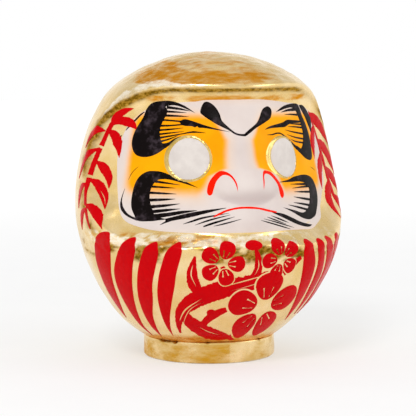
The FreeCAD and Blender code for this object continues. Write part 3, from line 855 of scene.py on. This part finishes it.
def robe_stripes(chart, material):
    """The folds of the robe: broad strokes that taper towards the foot."""
    left = [
        [(-65.4, 105), (-64.6, 101), (-65.6, 94), (-68.2, 80), (-70.6, 70), (-73, 57), (-76, 45),
         (-81.5, 33.6), (-81.5, 33.6), (-82.7, 48), (-81.5, 68), (-79.4, 85.7), (-75.5, 98),
         (-70.9, 103.6)],
        [(-52, 102), (-51.2, 98), (-52, 90.5), (-54.4, 80), (-58, 63.5), (-61.5, 48.6), (-64.6, 36),
         (-68.8, 20.7), (-68.8, 20.7), (-69.6, 33), (-69.4, 56.4), (-67.6, 72), (-63.4, 85), (-59.1, 95),
         (-55, 100.9)],
        [(-41.6, 99.6), (-40.4, 95.5), (-40.6, 90), (-43, 78.5), (-45.9, 66.4), (-48.2, 53), (-52, 40.5),
         (-55, 28.6), (-57.9, 20.7), (-57.9, 20.7), (-58.5, 34.3), (-57, 52), (-53.8, 68.6), (-50.9, 81),
         (-47.4, 92.9), (-44.6, 98)],
        [(-31.4, 99.9), (-30, 95.5), (-30.4, 90), (-33.2, 75.7), (-35, 64.3), (-38.4, 50), (-41.6, 38.5),
         (-45.9, 22.5), (-45.9, 22.5), (-46.2, 36), (-45, 54.3), (-42.1, 71.4), (-39.4, 83), (-37.2, 91.6),
         (-34.4, 97.4)],
    ]
    right = [
        [(28.8, 99), (26.4, 96.4), (26.5, 88), (28.2, 75), (30.6, 60), (34, 45.5), (38.5, 32.5),
         (38.5, 32.5), (39.3, 47), (38.4, 62), (36.5, 77.9), (33.6, 88.5), (30.8, 97)],
        [(36.6, 98.6), (34.7, 96.1), (36.5, 88.6), (39.2, 77), (40.6, 61), (42.6, 48.5), (46, 36), (46, 36),
         (47.6, 50), (47.6, 65), (45.6, 75.7), (42, 87.8), (38.8, 96.4)],
        [(44.2, 99), (42.3, 96.1), (45, 87), (48.6, 73.5), (50.4, 60), (51.6, 47), (54, 35), (54, 35),
         (57.3, 50), (58.6, 66), (57, 79.5), (51.4, 90), (46.4, 97.6)],
        [(54, 99.8), (52.4, 97), (55, 88), (59.4, 77), (61.4, 64), (61.8, 52), (63.6, 38), (63.6, 38),
         (67.2, 52), (68.6, 66), (66.6, 81), (61, 92), (56.6, 99)],
    ]
    for side, folds in (("left", left), ("right", right)):
        for number, points in enumerate(folds, 1):
            red_film(chart, f"robe_stripe_{side}_{number}", material, [outline(*points)], pitch=1.8)


def blossom(chart, azimuth, height, radius, turn, grow=1.0):
    """Round petals round a middle, as loops. grow makes them fatter and longer."""
    scale = chart.scale(azimuth, height)
    loops = []
    for k in range(PETALS):
        lean = turn + k * 2 * math.pi / PETALS
        out = np.array([math.cos(lean), math.sin(lean)])
        across = np.array([-out[1], out[0]])
        points = []
        for t in np.linspace(0, 2 * math.pi, 44, endpoint=False):
            long, wide = math.cos(t), math.sin(t)
            fat = 0.335 * radius * (1.0 + 0.18 * long) * grow
            wobble = 1 + 0.05 * noise.noise(Vector((long * 1.3 + k, wide * 1.3, height)))
            p = out * (0.60 * radius + 0.37 * radius * long * grow * wobble) + across * (fat * wide * wobble)
            points.append((azimuth + p[0] / scale, height + p[1]))
        loops.append(np.array(points))
    return loops


def stamens(chart, azimuth, height, radius, turn):
    """Short fine strokes left bare in the petals, with a dot at the end of each."""
    scale = chart.scale(azimuth, height)
    near, far = 0.30 * radius, 0.58 * radius
    reaches = ((near, 0.9), (0.5 * (near + far), 0.6), (far, 1.3))
    loops = []
    for k in range(PETALS):
        for lean in (-0.22, 0.22):
            angle = turn + k * 2 * math.pi / PETALS + lean
            u, v = math.cos(angle) / scale, math.sin(angle)
            nodes = [(azimuth + r * u, height + r * v, width) for r, width in reaches]
            loops.append(chart.brush(*nodes))
    return loops


def plum_branch(chart, material):
    """A flowering plum branch fills the belly."""
    flowers = [(11, 47, 30, 0.35), (-13, 84, 18, 1.25), (14, 86, 17, 0.7)]
    for number, flower in enumerate(flowers, 1):
        petals, bare = blossom(chart, *flower), stamens(chart, *flower)
        red_film(chart, f"plum_blossom_{number}", material, petals, bare, lift=RED_LIFT + 0.06)
    wood = chart.strokes(
        [(-38.5, 26, 2), (-37, 35, 6), (-33, 46, 10), (-24.5, 56, 13.5), (-13, 63.5, 14.5), (-1, 68, 13),
         (9, 72, 11), (17, 77, 8), (25, 86, 3)],
        [(-34, 45, 6), (-29.5, 36, 10), (-22, 28, 11.5), (-12, 23.8, 9), (-2, 21.6, 1.5)],
        [(-22, 58, 7), (-25.5, 68, 9.5), (-26, 78, 7.5), (-24.5, 90, 1.5)],
        [(-9, 66, 6), (-11, 74, 7), (-13, 82, 3)],
        [(-24, 29.5, 4), (-20, 38, 6), (-13, 45, 5.5), (-5, 49, 1)],
        [(0, 69, 6), (3, 78, 7), (2.5, 88, 5), (0.5, 97, 1)],
    )
    buds = [oval(-0.5, 21.8, 3.8, 3.0, 2.0), oval(0.3, 97.6, 3.8, 3.6, 3.0)]
    buds += [oval(-18.5, 73.4, 2.2, 2.6, 5.0), oval(-17.5, 44.5, 2.4, 2.8, 6.0)]
    gaps = [petal for flower in flowers for petal in blossom(chart, *flower, grow=1.14)]
    dry = chart.strokes(
        [(-36, 37), (-31, 47, 1.2), (-22, 56.5)],
        [(-34.5, 34), (-29, 46.5, 0.7), (-21.5, 54)],
        [(-14, 65.5), (-2, 70.5, 1.2), (9, 75)],
        [(-9, 62.5), (2, 67, 0.8), (12, 72.5)],
        [(-26, 33), (-19, 27.5, 1), (-9, 23.6)],
        [(-24.5, 66), (-26.5, 75, 0.9), (-25.6, 83)],
        [(1.5, 73), (3.2, 81, 0.9), (2.2, 89)],
    )
    red_film(chart, "plum_branch", material, wood + buds, gaps + dry)


def bamboo(chart, material):
    """A bamboo cane with leaves runs down beside the face, on the left."""
    cane = chart.strokes(
        [(-76.5, 186, 3.6), (-78.3, 177, 3.2), (-80, 168.6, 3.8)],
        [(-80.3, 166.8, 4), (-81.8, 156, 3.4), (-82.8, 146, 4)],
        [(-83, 144, 4.2), (-83.2, 133, 3.6), (-82.6, 123, 4.2)],
        [(-82.4, 121, 4.2), (-81, 112, 3.4), (-79, 105, 1)],
    )
    leaves = chart.strokes(
        [(-77, 184, 0.8), (-73, 188, 6), (-66.5, 186, 5.8), (-62.5, 181.5, 0.3)],
        [(-77, 185, 0.8), (-75, 191, 5.3), (-71, 195.5, 4.4), (-66.5, 197.5, 0.3)],
        [(-78, 181, 0.8), (-74, 176.5, 6.5), (-71.5, 169, 6), (-70, 160, 0.3)],
        [(-79, 180, 0.8), (-84, 180.5, 6.3), (-89, 175, 5.8), (-92.5, 166, 0.3)],
        [(-80.5, 167, 0.8), (-86.5, 161, 6.3), (-90.5, 152, 5.3), (-93.5, 142, 0.3)],
        [(-81.5, 157, 0.8), (-77.5, 152.5, 6.5), (-74, 145, 5.8), (-73, 136.5, 0.3)],
        [(-83, 143, 0.8), (-78.5, 139.5, 6), (-74.5, 131.5, 6.5), (-72, 121, 0.3)],
        [(-83.2, 140, 0.8), (-88, 135.5, 6), (-90.5, 128, 5.3), (-91.5, 119, 0.3)],
        [(-82.6, 123, 0.8), (-78, 121.5, 6.3), (-73, 115, 6.5), (-69.5, 106.5, 0.3)],
        [(-82, 121, 0.8), (-86, 116.5, 5.6), (-88, 110, 4.9), (-88.5, 103, 0.3)],
    )
    veins = chart.strokes(
        [(-76.5, 173), (-73.5, 168, 0.6), (-71, 162.5)],
        [(-86.5, 176.5), (-89, 173, 0.6), (-91, 169)],
        [(-76.5, 134.5), (-74, 129.5, 0.6), (-72.6, 124)],
    )
    red_film(chart, "bamboo_ornament", material, cane + leaves, veins)


def willow(chart, material):
    """Leaves hang along a twig beside the face, on the right."""
    loops = chart.strokes(
        [(66.5, 193, 1.5), (71, 178, 3.4), (74.5, 158, 3.6), (76, 138, 3.6), (76.5, 118, 3.2),
         (77, 103, 1)],
        [(67, 192, 1), (72.5, 187, 8), (79, 179, 7), (84, 166, 0.3)],
        [(70.5, 183, 1), (67.2, 175, 7.5), (65, 167, 7), (64.5, 156, 0.3)],
        [(72.5, 171, 1), (77.5, 165, 8), (82, 155, 7), (85, 141, 0.3)],
        [(74, 161, 1), (70.5, 153, 8), (67.8, 144, 7.5), (67, 132, 0.3)],
        [(75.5, 149, 1), (79.5, 142, 8), (83, 132, 7), (85, 119, 0.3)],
        [(76, 138, 1), (72.5, 130, 8), (70, 121, 7.5), (69.5, 109, 0.3)],
        [(76.5, 127, 1), (79.5, 119, 7.5), (82, 110, 6.5), (83, 99, 0.3)],
        [(76.8, 115, 1), (75.2, 108, 6.5), (74, 101, 5.5), (74, 92, 0.3)],
    )
    red_film(chart, "willow_ornament", material, loops)


# ---------------- the back and the foot


def seam_strip(chart, material):
    """The paper tape over the cut down the back, with torn edges."""
    low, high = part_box("back_seam_strip")
    half, lift, sunk, tear = high.x, 0.45 * MM, 0.3 * MM, 0.55 * MM
    across = 11
    along = [row for row, p in zip(skin_rows(), chart.points[:, 0]) if p[2] > low.z and p[1] > low.y]
    tops, bottoms = [], []
    for seat, elevation in along:
        centre, out = Vector((0, 0, seat * MM)), ray_at(math.pi, elevation)
        length = (seat + 90 * elevation) / 40  # grows evenly up the strip, for the noise
        left, right = (half + tear * noise.fractal(Vector((s, length * 10, 0)), 1.0, 2.0, 3) for s in (3, 9))
        for k in reversed(range(across)):
            share = k / (across - 1)
            x = -left + (left + right) * share
            found, normal = chart.cast(centre + Vector((x, 0, 0)) + out * FAR, -out)
            edge = min(1, 0.35 + 6 * min(share, 1 - share))
            tops.append(found + normal * lift * edge)
            bottoms.append(found - normal * sunk)
    starts = [i * across + k for i in range(len(along) - 1) for k in range(across - 1)]
    faces = [(a, a + 1, a + 1 + across, a + across) for a in starts]
    piece = closed_sheet("seam_tape", tops, bottoms, faces)
    finish_piece(piece, material, "gilt_paper", "back_seam_strip")


def foot_band(material):
    """The card band the doll stands on, gilded with the body and chipped along the joint."""
    low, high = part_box("foot_ring")
    radius, wall, tall = high.x / MM, 3.0, (high.z - low.z) / MM
    base = low.z / MM
    profile = [(radius - 1.5, 0), (radius - 0.7, 0.25), (radius - 0.2, 0.8)]
    profile += [(radius, z) for z in np.linspace(1.6, tall - 0.9, 12)]
    profile += [(radius - 0.25, tall - 0.3), (radius - 0.8, tall), (radius - wall, tall), (radius - wall, 0)]
    columns = 300
    # where the top edge is chipped: degrees round, width in degrees and depth
    chips = ((-63, 3.2, 1), (-56, 4.5, 0.8), (-49, 2.2, 1.3), (-20, 1.6, 0.5), (31, 2, 0.5), (140, 5, 0.9))
    points, amber, brown = [], [], []
    for r, z in profile:
        for j in range(columns):
            turn = j * 2 * math.pi / columns
            degrees = math.degrees(math.atan2(math.sin(turn), math.cos(turn)))
            seat = Vector((math.sin(turn) * 2.2, math.cos(turn) * 2.2, z * 0.09))
            out = 0.30 * noise.fractal(seat, 1.0, 2.0, 3) if wall + 1 > radius - r else 0
            chip = sum(deep * math.exp(-(((degrees - at) / wide) ** 2)) for at, wide, deep in chips)
            near_top = float(ease(tall - 2.6, tall - 0.4, z))
            drop = 0.9 * chip * near_top if r > radius - wall else 0
            reach = (min(r + out, radius + 0.3) - 0.7 * chip * near_top * (r > radius - wall)) * MM
            points.append((math.sin(turn) * reach, -math.cos(turn) * reach, (base + z - drop) * MM))
            amber.append(0.35 + 0.5 * noise.noise(seat * 1.7) + 0.35 * (1 - near_top) * (turn > math.pi))
            # Darker in the chips: bare card, with painted shade in the recesses.
            brown.append(min(1, 1.3 * chip * near_top))
    faces = rings_to_faces(0, len(profile), columns, closed=True)
    piece = make_object("foot_band", points, faces, 50)
    set_fields(piece, amber=np.clip(amber, 0, 1), brown=brown)
    finish_piece(piece, material, "foot_card", "foot_ring")


def dress_cad_nodes():
    """The pieces inside the foot keep their CAD meshes."""
    looks = {
        "base_board": matte("grey_board", (0.42, 0.36, 0.29), (0.27, 0.22, 0.17), 1.6, (1, 1, 3)),
        "clay_weight": matte("fired_clay", (0.50, 0.29, 0.19), (0.36, 0.19, 0.12), 1.2, depth=0.25),
        "bottom_paper": matte("base_paper", (0.74, 0.69, 0.60), (0.60, 0.53, 0.43), 0.9),
    }
    for name, material in looks.items():
        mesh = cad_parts[name].data
        mesh.materials.clear()
        mesh.materials.append(material)


# ---------------- the studio


def aim(name, data, place, target):
    """Puts a light or a camera at place, turned to the target."""
    thing = bpy.data.objects.new(name, data)
    thing.location = place
    thing.rotation_euler = (Vector(target) - Vector(place)).to_track_quat("-Z", "Y").to_euler()
    bpy.context.scene.collection.objects.link(thing)
    return thing


def area_light(name, place, size, watts):
    data = bpy.data.lights.new(name, "AREA")
    data.shape, data.size, data.energy = "DISK", size, watts
    aim(name, data, place, LIGHT_TARGET)


def studio_world():
    """White walls, a darker gap above them and a pale ceiling."""
    world = bpy.data.worlds.new("studio")
    bpy.context.scene.world = world
    world.use_nodes = True
    tree = world.node_tree
    tree.nodes.clear()
    split = tree.nodes.new("ShaderNodeSeparateXYZ")
    tree.links.new(tree.nodes.new("ShaderNodeTexCoord").outputs["Generated"], split.inputs[0])
    ramp = tree.nodes.new("ShaderNodeValToRGB")
    tree.links.new(split.outputs["Z"], ramp.inputs[0])
    stops = ((0.0, 1.0), (0.26, 1.0), (0.42, 0.78), (0.60, 0.66), (0.76, 0.80), (1.0, 0.80))
    for k, (place, level) in enumerate(stops):
        element = ramp.color_ramp.elements[k] if k < 2 else ramp.color_ramp.elements.new(place)
        element.position = place
        element.color = (level, level, level, 1)
    background = tree.nodes.new("ShaderNodeBackground")
    tree.links.new(ramp.outputs[0], background.inputs["Color"])
    output = tree.nodes.new("ShaderNodeOutputWorld")
    tree.links.new(background.outputs[0], output.inputs["Surface"])


def make_floor():
    radius, sides = 5.0, 96
    turns = [k * 2 * math.pi / sides for k in range(sides)]
    points = [(radius * math.cos(t), radius * math.sin(t), 0) for t in turns]
    floor = make_object("floor", points, [tuple(range(sides))])
    f = Finish("glowing_floor")
    f.set(Base_Color=f.mix(f.noise(60, 2), (0.52, 0.52, 0.52), (0.50, 0.50, 0.50)), Roughness=0.95)
    away = f.node("VectorMath", Vector=f.place)
    away.operation = "LENGTH"
    # The floor glows, more strongly away from the doll: painted light that keeps it white and lights the doll
    # from below.
    f.set(Specular_IOR_Level=0.1, Emission_Color=(1, 1, 1, 1))
    f.set(Emission_Strength=f.spread(away.outputs["Value"], 0.2, 2.2, 0.44, 0.64))
    floor.data.materials.append(f.material)


def make_camera(place, target, lens, shift):
    data = bpy.data.cameras.new("camera")
    data.lens, data.sensor_width, data.shift_x = lens, 36, shift
    bpy.context.scene.camera = aim("camera", data, place, target)


def build_doll():
    gilt = gilding("body_gilding")
    foot_gilt = gilding("foot_gilding", toned=FOOT_AMBER, mid=(0.74, 0.52, 0.19))
    tape_gilt = gilding("tape_gilding")
    rim_gold = gilding("eye_rim_gold", pale=(0.80, 0.60, 0.24), mid=(0.58, 0.38, 0.08))
    white, eyes = face_lacquer(), eye_white()
    black = ink()
    robe_red = enamel("robe_red", (0.60, 0.0, 0.002), (0.50, 0.0, 0.003))
    face_red = enamel("face_red", (0.95, 0.014, 0.0), (0.82, 0.004, 0.0))

    outer = skin_grid()
    make_skin(outer, gilt)
    chart = Chart(outer)
    paint_face_coat(chart, white)

    inked = (
        ("left_brow", left_brow(chart)), ("right_brow", right_brow(chart)),
        ("left_beard", left_beard(chart)), ("right_beard", right_beard(chart)), ("frown", frown()),
    )
    for name, loops in inked:
        film(chart, name, black, "ink_black", loops)

    eye_loops = (
        ("left", oval(-30.6, 160.7, 13.9, 17.4), oval(-30.0, 160.6, 11.8, 15.4)),
        ("right", oval(28.5, 160.4, 14.4, 16.2, 4.0), oval(29.8, 160.0, 12.0, 14.6, 4.0)),
    )
    for side, rim, blank in eye_loops:
        film(chart, f"{side}_eye_rim", rim_gold, "gilt_paper", [rim], [blank], RING_LIFT, 1.2, 0.35)
        film(chart, f"{side}_eye", eyes, "face_white", [blank], lift=EYE_LIFT)

    face_lines = zip(("left_nostril", "right_nostril", "mouth"), (*nostrils(), mouth_line(chart)))
    for name, loop in face_lines:
        red_film(chart, name, face_red, [loop], pitch=1.5)

    robe_stripes(chart, robe_red)
    plum_branch(chart, robe_red)
    bamboo(chart, robe_red)
    willow(chart, robe_red)
    seam_strip(chart, tape_gilt)
    foot_band(foot_gilt)
    dress_cad_nodes()


make_camera(place=(-0.4809, -1.4208, 0.262), target=(0, 0, 0.1162), lens=164.4, shift=-0.0022)
build_doll()
make_floor()
studio_world()
area_light("key", (-1.0, -1.35, 1.75), 0.75, 16)
area_light("fill", (1.5, -0.9, 0.9), 1.0, 4)
bpy.context.scene.view_settings.view_transform = "Standard"
